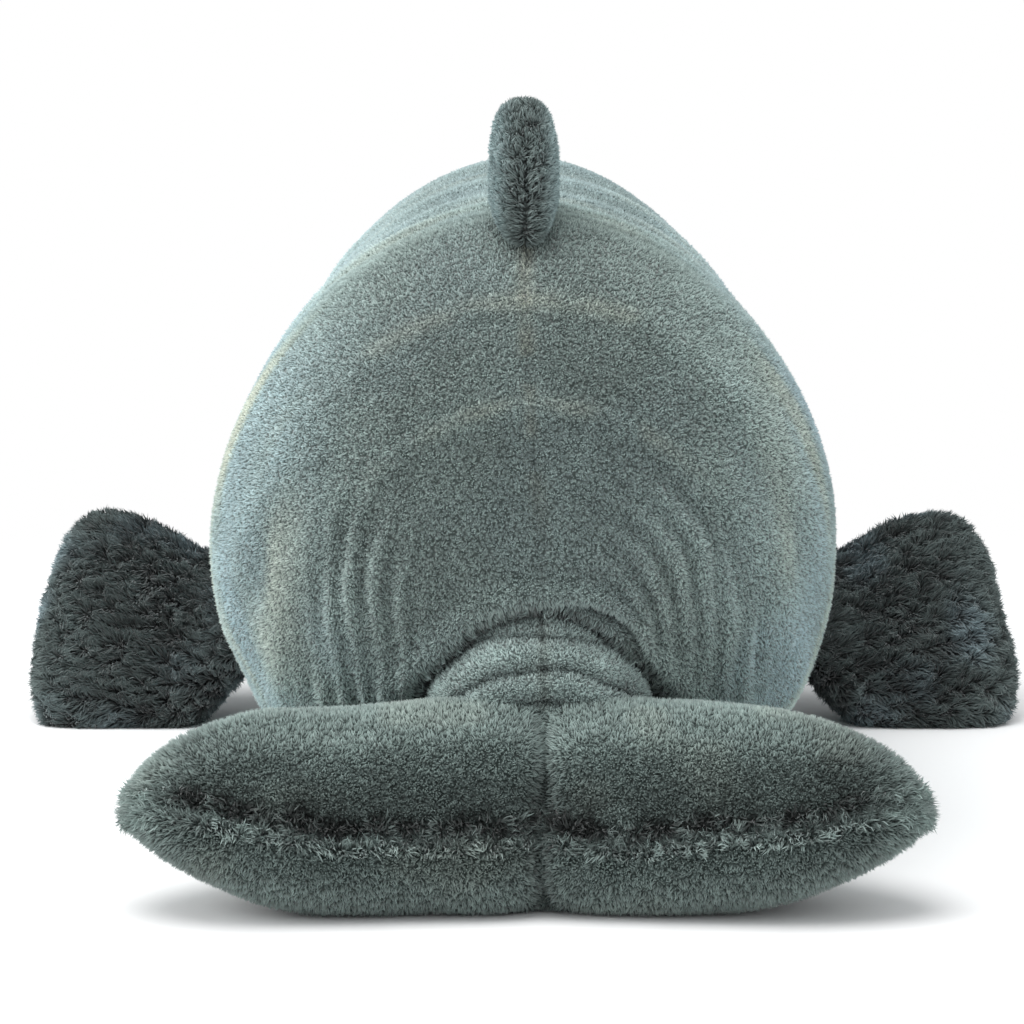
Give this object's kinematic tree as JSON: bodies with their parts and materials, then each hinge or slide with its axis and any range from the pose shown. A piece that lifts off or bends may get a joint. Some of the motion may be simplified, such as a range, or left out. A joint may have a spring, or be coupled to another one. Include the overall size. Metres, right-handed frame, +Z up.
{
  "type": "stuffed whale",
  "caption": "A stuffed slate green pile fabric whale that lies on its belly, with drooping flippers, a small dorsal fin, an arched tail stock and a thick fluke.",
  "frame": {"origin": "on the ground under the middle of the whale's length and width", "axes": "+Y towards the head, +Z up, +X to the whale's right"},
  "size_m": [0.3956, 0.596, 0.2567],
  "materials": {
    "back_pile": "short brushed pile",
    "belly_pile": "short brushed pile",
    "flipper_pile": "long brushed pile",
    "fluke_pile": "long brushed pile",
    "filling": "loose fibre",
    "eye_plastic": "gloss",
    "washer_plastic": "matte"
  },
  "bodies": {
    "body": {"body_panel_left": "back_pile", "body_panel_right": "back_pile", "belly_panel": "belly_pile", "body_stuffing": "filling", "eye_left": "eye_plastic", "eye_right": "eye_plastic", "eye_washer_left": "washer_plastic", "eye_washer_right": "washer_plastic"},
    "dorsal_fin": {"dorsal_fin_panel_left": "back_pile", "dorsal_fin_panel_right": "back_pile", "dorsal_fin_stuffing": "filling"},
    "left_flipper": {"flipper_left_top_panel": "flipper_pile", "flipper_left_under_panel": "flipper_pile", "flipper_left_stuffing": "filling"},
    "right_flipper": {"flipper_right_top_panel": "flipper_pile", "flipper_right_under_panel": "flipper_pile", "flipper_right_stuffing": "filling"},
    "tail_stock": {"tail_stock_panel_left": "back_pile", "tail_stock_panel_right": "back_pile", "tail_stock_stuffing": "filling"},
    "fluke": {"fluke_upper_panel": "fluke_pile", "fluke_lower_panel": "fluke_pile", "fluke_stuffing": "filling"}
  },
  "joints": [
    {"name": "dorsal_fin_flop", "type": "hinge", "parent": "body", "child": "dorsal_fin", "pos_m": [0, -0.15649, 0.2274], "axis": [0, 1, 0], "range_deg": [-25, 25], "stiffness_Nm_per_rad": 0.08},
    {"name": "left_flipper_lift", "type": "hinge", "parent": "body", "child": "left_flipper", "pos_m": [-0.10725, 0.05401, 0.046], "axis": [0, 0.9135, 0.4067], "range_deg": [0, 45], "stiffness_Nm_per_rad": 0.3},
    {"name": "right_flipper_lift", "type": "hinge", "parent": "body", "child": "right_flipper", "pos_m": [0.10723, 0.05401, 0.046], "axis": [0, -0.9135, -0.4067], "range_deg": [0, 45], "stiffness_Nm_per_rad": 0.3},
    {"name": "tail_stock_lift", "type": "hinge", "parent": "body", "child": "tail_stock", "pos_m": [0, -0.22499, 0.066], "axis": [-1, 0, 0], "range_deg": [0, 25], "stiffness_Nm_per_rad": 2},
    {"name": "fluke_lift", "type": "hinge", "parent": "tail_stock", "child": "fluke", "pos_m": [0, -0.24299, 0.029], "axis": [-1, 0, 0], "range_deg": [0, 30], "stiffness_Nm_per_rad": 1.5}
  ]
}
